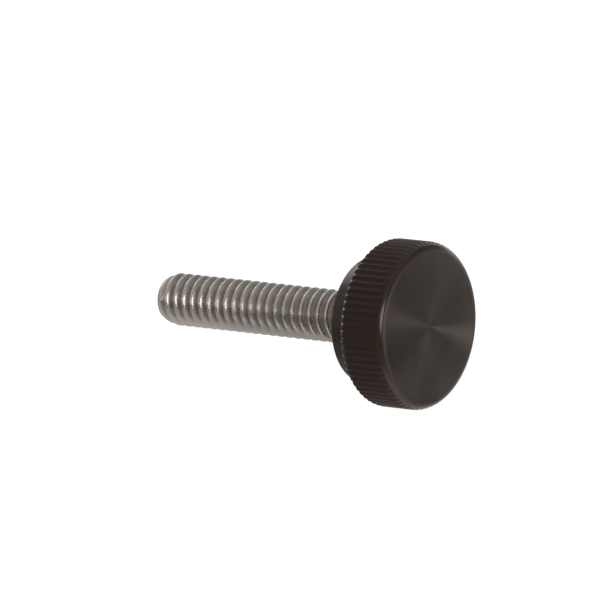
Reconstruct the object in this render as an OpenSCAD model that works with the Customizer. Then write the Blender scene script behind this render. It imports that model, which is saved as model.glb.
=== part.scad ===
// Thumb screw: a black knurled head with a smooth collar on a 1/4-20 stainless stud.
// It lies on its side on the plane Z = 0, on two knurl teeth and the tip of the stud.
// The screw's axis lies in the XZ plane, and the head is at +X.

/* [Head] */
// Diameter over the tops of the knurl teeth
head_d = 20; // [18:0.5:26]
// Length of the knurled band, from the end face to its rear face
band_l = 5.9; // [4:0.1:9]
// Radius of the rounded front edge
front_r = 1.3; // [0.6:0.1:1.5]
// 45 degree chamfer on the rear edge of the band
rear_c = 0.25; // [0.1:0.05:0.5]
// Diameter of the smooth collar behind the band
collar_d = 15; // [11:0.5:15.5]
// Length of the smooth collar
collar_l = 3.1; // [2:0.1:6]
// 45 degree chamfer on the rear edge of the collar
collar_c = 0.15; // [0.05:0.05:0.3]

/* [Knurl] */
// Number of straight teeth round the band
teeth = 70; // [50:4:90]
// Radial depth of the teeth
tooth_h = 0.36; // [0.2:0.02:0.4]
// Part of the pitch that the flat top of a tooth takes
top_share = 0.13; // [0.08:0.01:0.25]
// Part of the pitch that the floor between two teeth takes
floor_share = 0.07; // [0.04:0.01:0.2]

/* [Stud] */
// Major diameter of the 1/4-20 thread
thread_d = 6.35; // [5.8:0.05:7]
// Length of the thread that stands out of the collar
stud_l = 30; // [18:1:50]
// Length of the taper at the tip
tip_l = 1.5; // [0.8:0.1:2]
// Diameter of the tip's end face
tip_d = 5.2; // [4.2:0.1:5.2]
// Diameter of the plain shank held in the head
shank_d = 5.5; // [4.2:0.1:5.6]
// Deepest that the blind bore for the shank may go; it stops 1.6 mm or more short of the end face
bore_depth = 7; // [3:0.1:8]

/* [Hidden] */
$fn = 96;
e = 0.5;

head_r = head_d / 2;
total_l = stud_l + collar_l + band_l;
band_z = stud_l + collar_l;
pitch = 360 / teeth;
// The stud's 45 degree shoulder seats in the countersunk mouth of the bore.
seat_l = (thread_d - shank_d) / 2;
shank_end = stud_l + min(bore_depth, collar_l + band_l - 1.6);

// The rounded edge starts just outside the teeth, so their tops run out on it at a small angle.
round_x = head_r - front_r + 0.03;

// The two lowest teeth touch the ground, one each side of a groove, with the corners that face it.
contact_r = head_r * cos(pitch * (1 - top_share) / 2);
tilt = atan((contact_r - thread_d / 2) / (band_z + rear_c - tip_l));
lift = thread_d / 2 * cos(tilt) - tip_l * sin(tilt);

// Ends of the whole screw along X, before it is centred.
low_x = -tip_d / 2 * sin(tilt);
high_x = round_x * sin(tilt) + (total_l - front_r) * cos(tilt) + front_r;

// Stands a part modelled along +Z, with its tip at the origin, in the lying position.
module lie() {
    translate([-(low_x + high_x) / 2, 0, lift])
        rotate([0, 90 - tilt, 0])
            children();
}

// Outline of the straight knurl, with a groove on +X.
module knurl_outline() {
    root_r = head_r - tooth_h;
    polygon([
        for (i = [0 : teeth - 1])
            let (c = (i + 0.5) * pitch, t = top_share * pitch / 2, f = (0.5 - floor_share / 2) * pitch)
                each [
                    [root_r * cos(c - f), root_r * sin(c - f)],
                    [head_r * cos(c - t), head_r * sin(c - t)],
                    [head_r * cos(c + t), head_r * sin(c + t)],
                    [root_r * cos(c + f), root_r * sin(c + f)]
                ]
    ]);
}

// Half section of the band: radius along X, height along Y.
module band_section() {
    difference() {
        translate([0, band_z]) square([head_r + e, band_l]);
        translate([round_x, total_l - front_r])
            difference() {
                square(front_r + 2 * e);
                circle(r = front_r);
            }
        polygon([
            [head_r - rear_c - e, band_z - e],
            [head_r + 2 * e, band_z - e],
            [head_r + 2 * e, band_z + rear_c + 2 * e]
        ]);
    }
}

// Half section of the collar, with its chamfered rear edge.
module collar_section() {
    polygon([
        [0, stud_l],
        [collar_d / 2 - collar_c, stud_l],
        [collar_d / 2, stud_l + collar_c],
        [collar_d / 2, band_z + e],
        [0, band_z + e]
    ]);
}

// Half section of the blind bore and its countersunk mouth.
module bore_section() {
    polygon([
        [0, stud_l - e],
        [thread_d / 2, stud_l - e],
        [thread_d / 2, stud_l],
        [shank_d / 2, stud_l + seat_l],
        [shank_d / 2, shank_end],
        [0, shank_end]
    ]);
}

module knob_head() {
    color([0.14, 0.115, 0.11])
        lie()
            difference() {
                union() {
                    intersection() {
                        translate([0, 0, band_z - e])
                            linear_extrude(height = band_l + 2 * e) knurl_outline();
                        rotate_extrude() band_section();
                    }
                    rotate_extrude() collar_section();
                }
                rotate_extrude() bore_section();
            }
}

module threaded_stud() {
    color([0.62, 0.6, 0.58])
        lie()
            rotate_extrude()
                polygon([
                    [0, 0],
                    [tip_d / 2, 0],
                    [thread_d / 2, tip_l],
                    [thread_d / 2, stud_l],
                    [shank_d / 2, stud_l + seat_l],
                    [shank_d / 2, shank_end],
                    [0, shank_end]
                ]);
}

knob_head();
threaded_stud();
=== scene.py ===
import math

import bpy
import numpy as np
from mathutils import Matrix, Vector


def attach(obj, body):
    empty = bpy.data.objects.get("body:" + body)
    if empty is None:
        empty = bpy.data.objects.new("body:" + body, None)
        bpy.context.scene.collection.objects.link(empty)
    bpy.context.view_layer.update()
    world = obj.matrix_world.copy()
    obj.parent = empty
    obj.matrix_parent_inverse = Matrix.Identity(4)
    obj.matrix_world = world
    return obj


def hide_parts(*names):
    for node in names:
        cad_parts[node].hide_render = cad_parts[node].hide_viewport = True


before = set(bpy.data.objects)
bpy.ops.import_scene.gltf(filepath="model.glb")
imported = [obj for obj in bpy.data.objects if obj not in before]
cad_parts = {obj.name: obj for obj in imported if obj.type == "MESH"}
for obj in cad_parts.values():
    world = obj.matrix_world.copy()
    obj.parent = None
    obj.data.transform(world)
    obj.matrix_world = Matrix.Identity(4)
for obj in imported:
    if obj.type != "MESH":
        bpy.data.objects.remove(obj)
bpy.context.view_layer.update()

# ---------------------------------------------------------------------------
# Sizes of the screw, in millimetres, along its own axis: z = 0 at the tip of
# the stud, z = 39 at the end face of the head.
# ---------------------------------------------------------------------------
MM = 0.001
TEETH = 70
HEAD_R = 10.0
TOOTH_H = 0.36
TOP_SHARE = 0.13
FLOOR_SHARE = 0.07
BAND_L = 5.9
FRONT_R = 1.3
EDGE_R = 1.4  # as finished, with the crisp corner where the face meets it
REAR_C = 0.25
COLLAR_R = 7.5
COLLAR_L = 3.1
COLLAR_C = 0.15
THREAD_R = 3.175
STUD_L = 30.0
TIP_L = 1.5
TIP_R = 2.6
SHANK_R = 2.75
BORE = 7.0
PITCH = 1.27

BAND_Z = STUD_L + COLLAR_L
TOTAL_L = BAND_Z + BAND_L
ROUND_X = HEAD_R - FRONT_R + 0.03
SEAT_L = THREAD_R - SHANK_R

tooth = 2 * math.pi / TEETH
contact_r = HEAD_R * math.cos(tooth * (1 - TOP_SHARE) / 2)
TILT = math.atan((contact_r - THREAD_R) / (BAND_Z + REAR_C - TIP_L))
LIFT = THREAD_R * math.cos(TILT) - TIP_L * math.sin(TILT)
LOW_X = -TIP_R * math.sin(TILT)
HIGH_X = ROUND_X * math.sin(TILT) + (TOTAL_L - FRONT_R) * math.cos(TILT) + FRONT_R
SHIFT = -(LOW_X + HIGH_X) / 2

# the screw's own frame in the row frame: its +Z runs from tip to head
LIE = Matrix.Translation((SHIFT * MM, 0, LIFT * MM)) @ Matrix.Rotation(math.pi / 2 - TILT, 4, "Y")
LIE_NP = np.array(LIE)


def to_row(p):
    """Points in the screw's own frame, in mm, to the row frame in metres."""
    p = np.asarray(p, float) * MM
    return p @ LIE_NP[:3, :3].T + LIE_NP[:3, 3]


def ease(x):
    x = np.clip(x, 0.0, 1.0)
    return x * x * (3 - 2 * x)


def soft_min(a, b, k):
    """The smaller of two lengths, with the corner between them rounded over k."""
    h = np.clip(0.5 + 0.5 * (b - a) / k, 0.0, 1.0)
    return b * (1 - h) + a * h - k * h * (1 - h)


# ---------------------------------------------------------------------------
# Mesh helpers
# ---------------------------------------------------------------------------
class Shell:
    """Collects rings of points and the faces between them."""

    def __init__(self):
        self.points, self.faces, self.mats = [], [], []
        self.count = 0

    def ring(self, xyz):
        first = self.count
        self.points.append(np.asarray(xyz, float))
        self.count += len(xyz)
        return np.arange(first, self.count)

    def band(self, a, b, mat):
        """Quads between two rings of the same length. Seen from outside, a is nearer the head's end face."""
        a2, b2 = np.roll(a, -1), np.roll(b, -1)
        for q in np.stack([a, b, b2, a2], 1):
            self.faces.append([int(i) for i in q])
            self.mats.append(mat)

    def step_down(self, coarse, fine, mat, coarse_first):
        """Joins a ring of n points to a ring of 4n points, whose every fourth point stands beside one of the n."""
        n = len(coarse)
        for i in range(n):
            a, b = int(coarse[i]), int(coarse[(i + 1) % n])
            f = [int(fine[(4 * i + k) % len(fine)]) for k in range(5)]
            tris = [[a, f[0], f[1]], [a, f[1], f[2]], [a, f[2], b], [b, f[2], f[3]], [b, f[3], f[4]]]
            for t in tris:
                self.faces.append(t if coarse_first else t[::-1])
                self.mats.append(mat)

    def cap(self, ring, centre, mat, facing_head):
        c = self.count
        self.points.append(np.asarray([centre], float))
        self.count += 1
        r2 = np.roll(ring, -1)
        for a, b in zip(ring, r2):
            self.faces.append([c, int(a), int(b)] if facing_head else [c, int(b), int(a)])
            self.mats.append(mat)

    def build(self, name, materials, uv=None):
        pts = to_row(np.concatenate(self.points))
        me = bpy.data.meshes.new(name)
        me.from_pydata([tuple(p) for p in pts], [], self.faces)
        for m in materials:
            me.materials.append(m)
        me.polygons.foreach_set("material_index", self.mats)
        me.polygons.foreach_set("use_smooth", [True] * len(me.polygons))
        me.update()
        ob = bpy.data.objects.new(name, me)
        bpy.context.scene.collection.objects.link(ob)
        return ob


def around(r, z, angles):
    r = np.broadcast_to(r, angles.shape)
    z = np.broadcast_to(z, angles.shape)
    return np.stack([r * np.cos(angles), r * np.sin(angles), z], 1)


# ---------------------------------------------------------------------------
# Shader helpers
# ---------------------------------------------------------------------------
class Nodes:
    def __init__(self, name):
        self.mat = bpy.data.materials.new(name)
        self.mat.use_nodes = True
        self.nt = self.mat.node_tree
        self.nt.nodes.clear()
        self.out = self.nt.nodes.new("ShaderNodeOutputMaterial")
        self.bsdf = self.nt.nodes.new("ShaderNodeBsdfPrincipled")
        self.nt.links.new(self.bsdf.outputs[0], self.out.inputs[0])

    def put(self, socket, value):
        if isinstance(value, bpy.types.NodeSocket):
            self.nt.links.new(value, socket)
        else:
            socket.default_value = value

    def new(self, kind, **settings):
        n = self.nt.nodes.new("ShaderNode" + kind)
        for k, v in settings.items():
            setattr(n, k, v)
        return n

    def math(self, op, a, b=None, c=None, clamp=False):
        n = self.new("Math", operation=op, use_clamp=clamp)
        for s, v in zip(n.inputs, (a, b, c)):
            if v is not None:
                self.put(s, v)
        return n.outputs[0]

    def own(self):
        """x, y, z and distance from the axis, in millimetres, in the screw's own frame."""
        tc = self.new("TexCoord")
        mp = self.new("Mapping", vector_type="TEXTURE")
        mp.inputs["Location"].default_value = (SHIFT * MM, 0, LIFT * MM)
        mp.inputs["Rotation"].default_value = (0, math.pi / 2 - TILT, 0)
        mp.inputs["Scale"].default_value = (MM, MM, MM)
        self.nt.links.new(tc.outputs["Object"], mp.inputs["Vector"])
        sp = self.new("SeparateXYZ")
        self.nt.links.new(mp.outputs[0], sp.inputs[0])
        x, y, z = sp.outputs
        r = self.math("SQRT", self.math("ADD", self.math("MULTIPLY", x, x), self.math("MULTIPLY", y, y)))
        return mp.outputs[0], x, y, z, r

    def vec(self, x, y, z):
        n = self.new("CombineXYZ")
        for s, v in zip(n.inputs, (x, y, z)):
            self.put(s, v)
        return n.outputs[0]

    def noise(self, vector, scale, detail=2.0, rough=0.5, w=None):
        n = self.new("TexNoise", noise_dimensions="3D")
        self.put(n.inputs["Vector"], vector)
        n.inputs["Scale"].default_value = scale
        n.inputs["Detail"].default_value = detail
        n.inputs["Roughness"].default_value = rough
        return n.outputs["Fac"]

    def ramp(self, fac, stops, interpolation="LINEAR"):
        n = self.new("ValToRGB")
        cr = n.color_ramp
        cr.interpolation = interpolation
        while len(cr.elements) < len(stops):
            cr.elements.new(0.5)
        for e, (pos, col) in zip(cr.elements, stops):
            e.position = pos
            e.color = (*col, 1.0) if len(col) == 3 else col
        self.put(n.inputs[0], fac)
        return n.outputs[0]

    def span(self, v, a, b, c, d, clamp=True):
        n = self.new("MapRange", clamp=clamp)
        for s, x in zip(n.inputs, (v, a, b, c, d)):
            self.put(s, x)
        return n.outputs[0]

    def mix(self, fac, a, b):
        n = self.new("Mix", data_type="RGBA")
        self.put(n.inputs["Factor"], fac)
        self.put(n.inputs["A"], a)
        self.put(n.inputs["B"], b)
        return n.outputs["Result"]

    def bump(self, height, strength, distance, normal=None):
        n = self.new("Bump")
        n.inputs["Strength"].default_value = strength
        n.inputs["Distance"].default_value = distance
        self.put(n.inputs["Height"], height)
        if normal is not None:
            self.put(n.inputs["Normal"], normal)
        return n.outputs[0]

    def tangent(self, uv_map):
        n = self.new("Tangent", direction_type="UV_MAP")
        n.uv_map = uv_map
        return n.outputs[0]


def anodise(name, region):
    """Black anodised aluminium. region is face, collar or knurl: it sets which way the tool marks run."""
    k = Nodes(name)
    vec, x, y, z, r = k.own()
    b = k.bsdf
    # the dye is a brown black, a little uneven over a few millimetres
    drift = k.noise(vec, 0.22, 3.0, 0.55)
    colour = k.ramp(drift, [(0.30, (0.0235, 0.0098, 0.0062)), (0.52, (0.0190, 0.0108, 0.0070)), (0.72, (0.0155, 0.0120, 0.0076))])
    b.inputs["IOR"].default_value = 1.45
    b.inputs["Specular Tint"].default_value = (1.0, 0.89, 0.82, 1)
    b.inputs["Sheen Weight"].default_value = 0.10
    b.inputs["Sheen Roughness"].default_value = 0.35
    b.inputs["Sheen Tint"].default_value = (1.0, 0.95, 0.92, 1)
    grain = k.noise(vec, 9.0, 3.0, 0.6)
    fine = k.noise(vec, 38.0, 2.0, 0.5)
    if region == "knurl":
        # painted light: the grooves are paler than the tops, lifting the shade in them and bringing the teeth down to a
        # lower contrast; paler grooves, only to bring the teeth down to the photo's contrast
        groove = k.span(r, HEAD_R - TOOTH_H, HEAD_R - 0.02, 1.0, 0.0)
        painted_groove_light = k.ramp(drift, [(0.30, (0.047, 0.028, 0.022)), (0.52, (0.042, 0.028, 0.022)), (0.72, (0.037, 0.029, 0.022))])
        colour = k.mix(groove, k.mix(0.5, colour, (0.034, 0.021, 0.016, 1)), painted_groove_light)
    if region == "face":
        # painted shade on one side, darker and redder; painted light on the other and below, paler and greener; mixed
        # with the dye's random unevenness; darker and redder on one side, paler and greener on the other and below:
        # matched to the photo, where uneven light or the compression may be the real cause
        across = k.math("ADD", k.span(y, -9.0, 9.0, 0.0, 0.8), k.span(drift, 0.3, 0.7, -0.1, 0.3))
        across = k.math("ADD", across, k.span(x, 2.0, 9.0, 0.0, 0.40))
        colour = k.ramp(across, [(0.10, (0.0100, 0.0035, 0.0035)), (0.45, (0.0200, 0.0125, 0.0095)), (0.75, (0.0285, 0.0225, 0.0165)), (1.00, (0.0420, 0.0345, 0.0255))])
    k.put(b.inputs["Base Color"], colour)
    if region == "face":
        # facing marks: fine rings about the centre, with a slow change of feed
        rings = k.noise(k.vec(k.math("MULTIPLY", r, 14.0), k.math("MULTIPLY", x, 0.06), k.math("MULTIPLY", y, 0.06)), 1.0, 4.0, 0.65)
        feed = k.math("SINE", k.math("MULTIPLY", r, 2 * math.pi / 0.16))
        height = k.math("ADD", k.math("MULTIPLY", rings, 0.7), k.math("MULTIPLY", feed, 0.10))
        n0 = k.bump(k.math("MULTIPLY", r, 0.09), 1.0, MM)  # a slight cone, fitted to where the light falls
        n1 = k.bump(height, 0.30, 0.004 * MM, n0)
        k.put(b.inputs["Normal"], n1)
        b.inputs["IOR"].default_value = 1.46
        b.inputs["Specular Tint"].default_value = (1.0, 0.84, 0.78, 1)
        b.inputs["Sheen Weight"].default_value = 0.03
        b.inputs["Anisotropic"].default_value = 1.0
        b.inputs["Anisotropic Rotation"].default_value = 0.25
        k.put(b.inputs["Tangent"], k.tangent("turned"))
        k.put(b.inputs["Roughness"], k.span(rings, 0.25, 0.75, 0.30, 0.35))
    elif region == "edge":
        # the turned front edge and the broken rear edge are the smoothest places
        k.put(b.inputs["Normal"], k.bump(grain, 0.15, 0.003 * MM))
        b.inputs["IOR"].default_value = 1.52
        b.inputs["Sheen Weight"].default_value = 0.60
        b.inputs["Sheen Roughness"].default_value = 0.25
        k.put(b.inputs["Roughness"], k.math("ADD", k.span(grain, 0.25, 0.75, 0.0, 0.08), k.span(r, 9.0, 9.35, 0.36, 0.17)))
    elif region == "collar":
        rings = k.noise(k.vec(k.math("MULTIPLY", x, 0.06), k.math("MULTIPLY", y, 0.06), k.math("ADD", k.math("MULTIPLY", z, 16.0), k.math("MULTIPLY", r, 16.0))), 1.0, 4.0, 0.65)
        n1 = k.bump(rings, 0.4, 0.004 * MM)
        n2 = k.bump(fine, 0.25, 0.003 * MM, n1)
        k.put(b.inputs["Normal"], n2)
        b.inputs["Anisotropic"].default_value = 0.6
        b.inputs["IOR"].default_value = 1.50
        b.inputs["Anisotropic Rotation"].default_value = 0.25
        k.put(b.inputs["Tangent"], k.tangent("turned"))
        k.put(b.inputs["Roughness"], k.span(rings, 0.25, 0.75, 0.20, 0.30))
    else:
        drag = k.noise(k.vec(k.math("MULTIPLY", x, 12.0), k.math("MULTIPLY", y, 12.0), k.math("MULTIPLY", z, 1.2)), 1.0, 3.0, 0.6)
        n0 = k.bump(k.math("MULTIPLY", r, -0.60), 1.0, MM)  # softens the teeth's shading to the photo's contrast
        n1 = k.bump(drag, 0.35, 0.006 * MM, n0)
        n2 = k.bump(grain, 0.3, 0.006 * MM, n1)
        k.put(b.inputs["Normal"], n2)
        k.put(b.inputs["Roughness"], k.span(grain, 0.25, 0.75, 0.60, 0.72))
        b.inputs["IOR"].default_value = 1.22
        b.inputs["Sheen Weight"].default_value = 0.66
        b.inputs["Sheen Roughness"].default_value = 0.31
    return k.mat


def stainless(name):
    k = Nodes(name)
    vec, x, y, z, r = k.own()
    b = k.bsdf
    b.inputs["Metallic"].default_value = 1.0
    # marks run round the stud; the roots are darker and browner, a painted shade
    marks = k.noise(k.vec(k.math("MULTIPLY", x, 0.5), k.math("MULTIPLY", y, 0.5), k.math("MULTIPLY", z, 16.0)), 1.0, 3.0, 0.6)
    cloud = k.noise(vec, 0.50, 2.0, 0.50)
    pits = k.noise(vec, 11.0, 3.0, 0.6)
    depth = k.span(r, 2.4, 3.15, 0.0, 1.0)
    blots = k.noise(vec, 3.0, 3.0, 0.6)
    steel = k.ramp(cloud, [(0.34, (0.555, 0.478, 0.468)), (0.50, (0.555, 0.513, 0.482)), (0.66, (0.515, 0.515, 0.455))])
    painted_root_shade = k.mix(k.span(blots, 0.35, 0.65, 0.0, 1.0), (0.265, 0.205, 0.168, 1.0), (0.42, 0.352, 0.306, 1.0))
    k.put(b.inputs["Base Color"], k.mix(k.math("POWER", depth, 0.6), painted_root_shade, steel))
    n1 = k.bump(marks, 0.5, 0.01 * MM)
    n2 = k.bump(pits, 0.35, 0.012 * MM, n1)
    n3 = k.bump(blots, 0.30, 0.030 * MM, n2)
    k.put(b.inputs["Normal"], n3)
    k.put(b.inputs["Roughness"], k.math("ADD", k.span(blots, 0.32, 0.68, 0.19, 0.36), k.span(depth, 0.0, 1.0, 0.08, 0.0)))
    return k.mat


# ---------------------------------------------------------------------------
# Head
# ---------------------------------------------------------------------------
def tooth_height(u):
    """Height of the knurl over its root, from 0 to 1, at u pitches from a groove's middle."""
    u = np.abs((u + 0.5) % 1.0 - 0.5)  # 0 in the groove, 0.5 on the tooth
    lo, hi = FLOOR_SHARE / 2, 0.5 - TOP_SHARE / 2
    return np.clip((u - lo) / (hi - lo), 0.0, 1.0)


def rounded_tooth(u):
    """The same with its corners rounded over about a tenth of a millimetre."""

    def blur(u):
        out = np.zeros_like(u)
        total = 0.0
        for d in np.linspace(-1, 1, 21):
            w = 1 - d * d
            out += w * tooth_height(u + d * 0.11)
            total += w
        return out / total

    low, high = blur(np.array([0.0, 0.5]))
    return (blur(u) - low) / (high - low)


HALF = np.array([0.0, 0.035, 0.08, 0.16, 0.27, 0.37, 0.42, 0.46, 0.5])
PER_TOOTH = np.concatenate([HALF[:-1], 1 - HALF[:0:-1]])  # 16 places across one pitch, groove to groove
FINE_U = (np.arange(TEETH)[:, None] + PER_TOOTH[None, :]).ravel()
FINE = FINE_U * tooth
COARSE = FINE[::4]
KNURL_R = HEAD_R - TOOTH_H + TOOTH_H * rounded_tooth(FINE_U)


def make_head():
    s = Shell()
    FACE, KNURL, COLLAR, EDGE = 0, 1, 2, 3

    def coarse(r, z):
        return s.ring(around(r, z, COARSE))

    def knurled(r_env, z, k=0.05):
        return s.ring(around(soft_min(np.full_like(KNURL_R, r_env), KNURL_R, k), z, FINE))

    round_x = HEAD_R - EDGE_R + 0.03
    lead = math.radians(14)
    corner = round_x + EDGE_R * math.tan(lead / 2)

    # end face, with a shallow centre mark left by the facing tool
    first = coarse(0.05, TOTAL_L - 0.004)
    s.cap(first, (0, 0, TOTAL_L - 0.004), FACE, True)
    last = first
    for r, dz in ((0.10, 0.002), (0.18, 0.0), (0.5, 0.0), (1.2, 0.0), (2.5, 0.0), (4.0, 0.0), (5.5, 0.0), (7.0, 0.0), (8.0, 0.0), (8.5, 0.0), (corner - 0.04, 0.0), (corner - 0.02, 0.0)):
        ring = coarse(r, TOTAL_L - dz)
        s.band(last, ring, FACE)
        last = ring
    # the face meets the rounded edge in a crisp corner
    for t in (0.02, 0.04, 0.10):
        ring = coarse(corner + t * math.cos(lead), TOTAL_L - t * math.sin(lead))
        s.band(last, ring, EDGE)
        last = ring
    for deg in (14, 17, 20, 24, 28, 31):
        a = math.radians(deg)
        ring = coarse(round_x + EDGE_R * math.sin(a), TOTAL_L - EDGE_R + EDGE_R * math.cos(a))
        s.band(last, ring, EDGE)
        last = ring
    # the knurl runs out on the rest of it
    a = math.radians(34)
    ring = knurled(round_x + EDGE_R * math.sin(a), TOTAL_L - EDGE_R + EDGE_R * math.cos(a))
    s.step_down(last, ring, EDGE, True)
    last = ring
    for deg in (37, 40, 43, 46, 49, 52, 55, 58, 62, 66, 70, 74, 78, 82, 86, 90):
        a = math.radians(deg)
        ring = knurled(round_x + EDGE_R * math.sin(a), TOTAL_L - EDGE_R + EDGE_R * math.cos(a))
        s.band(last, ring, EDGE if deg <= 46 else KNURL)
        last = ring
    z0, z1 = TOTAL_L - EDGE_R, BAND_Z + 0.50
    for t in (0.15, 0.35, 0.55, 0.75, 0.9, 1.0):
        ring = knurled(HEAD_R + 0.03, z0 + (z1 - z0) * t)
        s.band(last, ring, KNURL)
        last = ring
    # the rear corners of the teeth are broken round, as deep as the chamfer
    for deg in (14, 24, 33, 42, 51, 60, 69, 78):
        a = math.radians(deg)
        ring = knurled(HEAD_R + 0.01 - 0.50 * (1 - math.cos(a)), BAND_Z + 0.50 - 0.50 * math.sin(a), 0.02)
        s.band(last, ring, EDGE)
        last = ring
    ring = s.ring(around(HEAD_R - 0.50, BAND_Z, FINE))
    s.band(last, ring, COLLAR)
    last = ring
    ring = coarse(HEAD_R - 0.65, BAND_Z)
    s.step_down(ring, last, COLLAR, False)
    last = ring
    # rear face of the band, a small tool radius, and the collar
    prof = [(9.0, BAND_Z), (8.2, BAND_Z), (7.75, BAND_Z)]
    fr = 0.15
    for deg in (15, 35, 55, 75, 90):
        a = math.radians(deg)
        prof.append((COLLAR_R + fr - fr * math.sin(a), BAND_Z - fr + fr * math.cos(a)))
    for t in (0.1, 0.35, 0.65, 0.9):
        prof.append((COLLAR_R, BAND_Z - fr + (STUD_L + COLLAR_C - BAND_Z + fr) * t))
    for deg in (0, 20, 40, 60, 80, 90):
        a = math.radians(deg)
        prof.append((COLLAR_R - COLLAR_C + COLLAR_C * math.cos(a), STUD_L + COLLAR_C - COLLAR_C * math.sin(a)))
    prof += [(7.1, STUD_L), (6.0, STUD_L), (4.6, STUD_L), (3.5, STUD_L), (THREAD_R + 0.03, STUD_L), (THREAD_R, STUD_L + 0.02)]
    prof += [(SHANK_R + 0.1, STUD_L + SEAT_L - 0.1), (SHANK_R, STUD_L + SEAT_L), (SHANK_R, STUD_L + BORE * 0.5), (SHANK_R, STUD_L + BORE)]
    for r, z in prof:
        ring = coarse(r, z)
        s.band(last, ring, COLLAR)
        last = ring
    s.cap(last, (0, 0, STUD_L + BORE), COLLAR, False)
    return s


def turned_uv(me, name):
    """A map whose U runs round the axis and V outwards along the surface, so that its tangent follows the tool marks."""
    inv = np.array(LIE.inverted())
    co = np.zeros(len(me.vertices) * 3, np.float32)
    me.vertices.foreach_get("co", co)
    p = (co.reshape(-1, 3).astype(float) @ inv[:3, :3].T + inv[:3, 3]) / MM
    ang = np.arctan2(p[:, 1], p[:, 0]) / (2 * math.pi) % 1.0
    rad = np.hypot(p[:, 0], p[:, 1])
    v = (rad + (TOTAL_L - p[:, 2])) / 60.0
    layer = me.uv_layers.new(name=name)
    n = len(me.loops)
    idx = np.zeros(n, np.int32)
    me.loops.foreach_get("vertex_index", idx)
    u = ang[idx]
    starts = np.zeros(len(me.polygons), np.int32)
    totals = np.zeros(len(me.polygons), np.int32)
    me.polygons.foreach_get("loop_start", starts)
    me.polygons.foreach_get("loop_total", totals)
    face = np.repeat(np.arange(len(totals)), totals)
    # faces over the seam: bring the small angles up by a turn
    high = np.zeros(len(totals))
    np.maximum.at(high, face, u)
    low = np.ones(len(totals))
    np.minimum.at(low, face, u)
    wrap = (high - low)[face] > 0.5
    u = np.where(wrap & (u < 0.5), u + 1.0, u)
    # a point on the axis has no angle of its own: it takes the middle of its face
    on_axis = rad[idx] < 1e-4
    s = np.zeros(len(totals))
    c = np.zeros(len(totals))
    np.add.at(s, face, np.where(on_axis, 0, u))
    np.add.at(c, face, np.where(on_axis, 0, 1))
    u = np.where(on_axis, (s / np.maximum(c, 1))[face], u)
    layer.uv.foreach_set("vector", np.stack([u, v[idx]], 1).astype(np.float32).ravel())


# ---------------------------------------------------------------------------
# Stud
# ---------------------------------------------------------------------------
def thread_profile(t):
    """Radius of a rolled 60 degree thread at t pitches from a crest's middle."""
    t = np.abs((t + 0.5) % 1.0 - 0.5) * PITCH
    flat = PITCH / 16
    slope = 1 / math.tan(math.radians(30))
    root_rho = 0.144 * PITCH
    apex = THREAD_R - slope * (PITCH / 2 - flat)
    d = PITCH / 2 - t  # from the root's middle
    r = THREAD_R - slope * np.maximum(t - flat, 0)
    # the root's arc touches the flanks where its normal is 30 degrees off the axis
    reach = root_rho * math.cos(math.radians(30))
    arc = apex + 2 * root_rho - np.sqrt(np.maximum(root_rho**2 - np.minimum(d, reach) ** 2, 0))
    return np.where(d < reach, arc, r)


def rounded_thread(t):
    out = np.zeros_like(t)
    total = 0.0
    for d in np.linspace(-1, 1, 11):
        w = 1 - d * d
        out += w * thread_profile(t + d * 0.035)
        total += w
    return out / total


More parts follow.
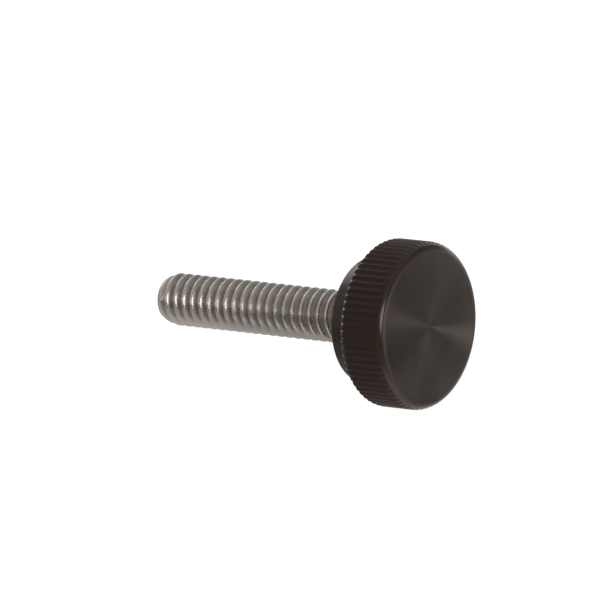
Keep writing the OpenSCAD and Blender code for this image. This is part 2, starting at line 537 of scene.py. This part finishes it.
def make_stud():
    s = Shell()
    cols = 120
    z_end = STUD_L + SEAT_L
    phases = np.array([0.0, 0.04, 0.075, 0.12, 0.19, 0.27, 0.345, 0.40, 0.45, 0.5, 0.55, 0.60, 0.655, 0.73, 0.81, 0.88, 0.925, 0.96])
    per = len(phases)
    turns = int(math.ceil(z_end / PITCH)) + 2
    t_all = (np.arange(turns)[:, None] + phases[None, :]).ravel() - 1.0  # in pitches, from one turn below the tip
    rows = len(t_all)
    ang = np.arange(cols) / cols * 2 * math.pi
    start = 0.31  # the angle, in turns, at which a crest leaves the tip

    tt = t_all[:, None] + np.arange(cols)[None, :] / cols
    z = tt * PITCH
    zc = np.clip(z, 0.0, z_end)
    r = np.broadcast_to(rounded_thread(t_all[:, None] + start), tt.shape)
    # outside shape: tapered tip with a rounded end, full thread, and the seat in the head
    tip_round = 0.22
    cone = TIP_R + (THREAD_R - TIP_R) * zc / TIP_L
    nose = TIP_R - tip_round * 0.55 + np.sqrt(np.maximum(1 - (1 - np.clip(zc / (tip_round * 1.5), 0, 1)) ** 2, 0)) * tip_round * 0.75
    env = np.minimum(soft_min(cone, np.full_like(cone, THREAD_R), 0.10), THREAD_R)
    env = np.where(zc < tip_round * 1.5, np.minimum(env, nose), env)
    env = np.minimum(env, THREAD_R - np.clip(zc - STUD_L, 0, SEAT_L) - 0.004 * (zc > STUD_L))
    r = soft_min(r, env, 0.05)
    # the grooves fade in behind the tip and fill up inside the mouth of the bore
    fade = ease((zc - 0.10) / 1.5)
    r = env + (r - env) * fade
    tail = ease((zc - (STUD_L + 0.05)) / (SEAT_L - 0.08))
    r = r + (np.minimum(env, SHANK_R - 0.004) - r) * tail

    index = {}
    pts = []

    def vid(i, j):
        j += per * (i // cols)
        i %= cols
        j = min(j, rows - 1)
        if z[j, i] <= 0:
            key = ("lo", i)
            p = (r[j, i], 0.0)
        elif z[j, i] >= z_end:
            key = ("hi", i)
            p = (r[j, i], z_end)
        else:
            key = (i, j)
            p = (r[j, i], zc[j, i])
        if key not in index:
            index[key] = len(pts)
            pts.append((p[0] * math.cos(ang[i]), p[0] * math.sin(ang[i]), p[1]))
        return index[key]

    faces = []
    for i in range(cols):
        for j in range(rows - 1):
            q = [vid(i, j), vid(i + 1, j), vid(i + 1, j + 1), vid(i, j + 1)]
            u = []
            for v in q:
                if v not in u:
                    u.append(v)
            if len(u) >= 3:
                faces.append(u)
    lo = np.array([index[("lo", i)] for i in range(cols)])
    hi = np.array([index[("hi", i)] for i in range(cols)])
    s.points.append(np.array(pts))
    s.count = len(pts)
    s.faces = faces
    s.mats = [0] * len(faces)
    # tip's end face
    last = lo
    for rr in (TIP_R - 0.20, TIP_R - 0.40, 1.6, 0.8, 0.25):
        ring = s.ring(around(rr, 0.0, ang))
        s.band(last, ring, 0)
        last = ring
    s.cap(last, (0, 0, 0.0), 0, False)
    # shank inside the head
    last = hi
    for rr, zz in ((SHANK_R - 0.004, z_end + 0.3), (SHANK_R - 0.004, STUD_L + BORE - 0.01)):
        ring = s.ring(around(rr, zz, ang))
        s.band(ring, last, 0)
        last = ring
    s.cap(last, (0, 0, STUD_L + BORE - 0.01), 0, True)
    return s


head = make_head().build("knurled_head", [anodise("black_anodised_face", "face"), anodise("black_anodised_knurl", "knurl"), anodise("black_anodised_collar", "collar"), anodise("black_anodised_edge", "edge")])
turned_uv(head.data, "turned")
stud = make_stud().build("thread_stud", [stainless("stainless_rolled")])
for ob, node, slot in ((head, "knob_head", "black_anodised"), (stud, "threaded_stud", "stainless")):
    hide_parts(node)
    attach(ob, "root")

# ---------------------------------------------------------------------------
# Camera: level, looking down on the screw with the head to the right
# ---------------------------------------------------------------------------
AZ, EL = math.radians(35.66), math.radians(28.33)
right = Vector((math.cos(AZ), math.sin(AZ), 0))
back = Vector((math.sin(AZ) * math.cos(EL), -math.cos(AZ) * math.cos(EL), math.sin(EL)))
up = back.cross(right)
DIST = 0.9
PX = 8.496  # pixels of the 600 pixel frame to a millimetre, at the end face's centre
face_centre = LIE @ Vector((0, 0, TOTAL_L * MM))
cam_at = face_centre - right * ((430.23 - 300) / PX * MM) + up * ((326.54 - 300) / PX * MM) + back * DIST
cam = bpy.data.cameras.new("camera")
cam.sensor_width = 36
cam.lens = PX * DIST * 1000 * 36 / 600
cam.clip_start, cam.clip_end = 0.05, 20
cam_ob = bpy.data.objects.new("camera", cam)
cam_ob.matrix_world = Matrix.Translation(cam_at) @ Matrix((right, up, back)).transposed().to_4x4()
bpy.context.scene.collection.objects.link(cam_ob)
bpy.context.scene.camera = cam_ob

# ---------------------------------------------------------------------------
# Floor and light
# ---------------------------------------------------------------------------
front = Vector((math.sin(AZ), -math.cos(AZ), 0))  # level, towards the camera's place at rest
# What the screw mirrors of the floor: an even part, parts that rise towards the back, and soft round
# patches. Each rise is (from, to, strength) in metres behind the screw. Each patch is (right, front,
# radius within which it is even, radius where it ends, strength).
FLOOR_EVEN = 0.17
FLOOR_RISES = ((-0.030, 0.060, 0.25), (0.020, 0.150, 0.87))
FLOOR_PATCHES = (
    (0.104, 0.032, 0.016, 0.036, 1.5),
    (0.080, 0.000, 0.000, 0.040, 0.4),
    (0.023, 0.0193, 0.000, 0.030, 0.75),
    (0.002, 0.034, 0.000, 0.028, 0.7),
    (0.0, -0.025, 0.000, 0.040, 0.75),
    # this negative patch is a painted shadow in the floor's glow, next to the head
    (0.021, 0.0145, 0.000, 0.009, -0.8),
)
# The room round it: an even part, and parts that rise towards the back, the left, the top and the right.
ROOM = 0.16
ROOM_RISES = ((-front, 0.30, 0.90, 0.20), (Vector((0, 0, 1)), 0.30, 0.80, 0.34), (-right, 0.30, 0.90, 0.34), (right, 0.80, 1.00, 0.30))


def floor():
    me = bpy.data.meshes.new("floor")
    h = 8.0
    me.from_pydata([(-h, -h, 0), (h, -h, 0), (h, h, 0), (-h, h, 0)], [], [(0, 1, 2, 3)])
    ob = bpy.data.objects.new("floor", me)
    k = Nodes("pale_floor")
    k.bsdf.inputs["Base Color"].default_value = (0.20, 0.20, 0.199, 1)
    k.bsdf.inputs["Roughness"].default_value = 0.9
    k.bsdf.inputs["Specular IOR Level"].default_value = 0.1
    k.bsdf.inputs["Emission Color"].default_value = (1, 1, 0.995, 1)
    # white to the eye; what the screw mirrors is dimmer, with patches fitted to the photo's reflections
    seen = k.new("LightPath").outputs["Is Camera Ray"]
    tc = k.new("TexCoord")

    def smooth(value, start, end, lo, hi):
        n = k.new("MapRange", interpolation_type="SMOOTHSTEP")
        for i, v in enumerate((value, start, end, lo, hi)):
            k.put(n.inputs[i], v)
        return n.outputs[0]

    behind = k.new("VectorMath", operation="DOT_PRODUCT")
    k.put(behind.inputs[0], tc.outputs["Object"])
    behind.inputs[1].default_value = tuple(-front)
    glow = FLOOR_EVEN
    for start, end, strength in FLOOR_RISES:
        glow = k.math("ADD", smooth(behind.outputs["Value"], start, end, 0.0, strength), glow)
    for x, y, even, radius, strength in FLOOR_PATCHES:
        near = k.new("VectorMath", operation="DISTANCE")
        k.put(near.inputs[0], tc.outputs["Object"])
        near.inputs[1].default_value = tuple(right * x + front * y)
        glow = k.math("ADD", smooth(near.outputs["Value"], even, radius, strength, 0.0), glow)
    glow = k.math("MAXIMUM", glow, 0.03)
    k.put(k.bsdf.inputs["Emission Strength"], k.math("ADD", k.math("MULTIPLY", seen, 0.95), k.math("MULTIPLY", k.math("SUBTRACT", 1.0, seen), glow)))
    me.materials.append(k.mat)
    bpy.context.scene.collection.objects.link(ob)
    return ob


floor()


def softbox(name, azimuth, elevation, distance, width, height, radiance):
    """A rectangular soft light. azimuth is in degrees from the front towards the right."""
    a, e = math.radians(azimuth), math.radians(elevation)
    d = (front * math.cos(a) + right * math.sin(a)) * math.cos(e) + Vector((0, 0, math.sin(e)))
    data = bpy.data.lights.new(name, "AREA")
    data.shape = "RECTANGLE"
    data.size, data.size_y = width, height
    data.energy = radiance * math.pi * width * height
    ob = bpy.data.objects.new(name, data)
    ob.location = Vector((0, 0, 0.008)) + d * distance
    ob.rotation_mode = "QUATERNION"
    ob.rotation_quaternion = d.to_track_quat("Z", "Y")
    bpy.context.scene.collection.objects.link(ob)
    return ob


# Placed and dimmed by a least-squares fit to the photo, then one by one. They aren't known studio lights.
softbox("key_right", 39.5, 22.5, 0.9, 0.25, 0.34, 5.0)
softbox("strip_front", 15.7, 27.4, 0.9, 0.26, 0.10, 4.0)
softbox("side_right", 71.0, 5.6, 1.0, 0.24, 0.13, 8.6)
softbox("fill_left", -45.0, 25.0, 1.0, 0.35, 0.30, 2.3)
softbox("rear_left", -150.0, 30.0, 1.2, 0.80, 0.60, 2.1)

world = bpy.data.worlds.new("studio")
bpy.context.scene.world = world
world.use_nodes = True
nt = world.node_tree
nt.nodes.clear()
out = nt.nodes.new("ShaderNodeOutputWorld")
seen = nt.nodes.new("ShaderNodeBackground")
seen.inputs[0].default_value = (1, 1, 1, 1)
seen.inputs[1].default_value = 1.0
room = nt.nodes.new("ShaderNodeBackground")
room.inputs[0].default_value = (1, 1, 1, 1)
# the room is dim; its even part and rises were fitted to the photo with the lights
tc = nt.nodes.new("ShaderNodeTexCoord")
total = None
for towards, start, end, strength in ROOM_RISES:
    part = nt.nodes.new("ShaderNodeVectorMath")
    part.operation = "DOT_PRODUCT"
    part.inputs[1].default_value = tuple(towards)
    nt.links.new(tc.outputs["Generated"], part.inputs[0])
    rise = nt.nodes.new("ShaderNodeMapRange")
    rise.interpolation_type = "SMOOTHSTEP"
    for i, v in ((1, start), (2, end), (3, 0.0), (4, strength)):
        rise.inputs[i].default_value = v
    nt.links.new(part.outputs["Value"], rise.inputs[0])
    add = nt.nodes.new("ShaderNodeMath")
    add.operation = "ADD"
    if total is None:
        add.inputs[0].default_value = ROOM
    else:
        nt.links.new(total, add.inputs[0])
    nt.links.new(rise.outputs[0], add.inputs[1])
    total = add.outputs[0]
nt.links.new(total, room.inputs[1])
path = nt.nodes.new("ShaderNodeLightPath")
both = nt.nodes.new("ShaderNodeMixShader")
nt.links.new(path.outputs["Is Camera Ray"], both.inputs[0])
nt.links.new(room.outputs[0], both.inputs[1])
nt.links.new(seen.outputs[0], both.inputs[2])
nt.links.new(both.outputs[0], out.inputs[0])

bpy.context.scene.view_settings.view_transform = "Standard"
bpy.context.scene.view_settings.look = "None"
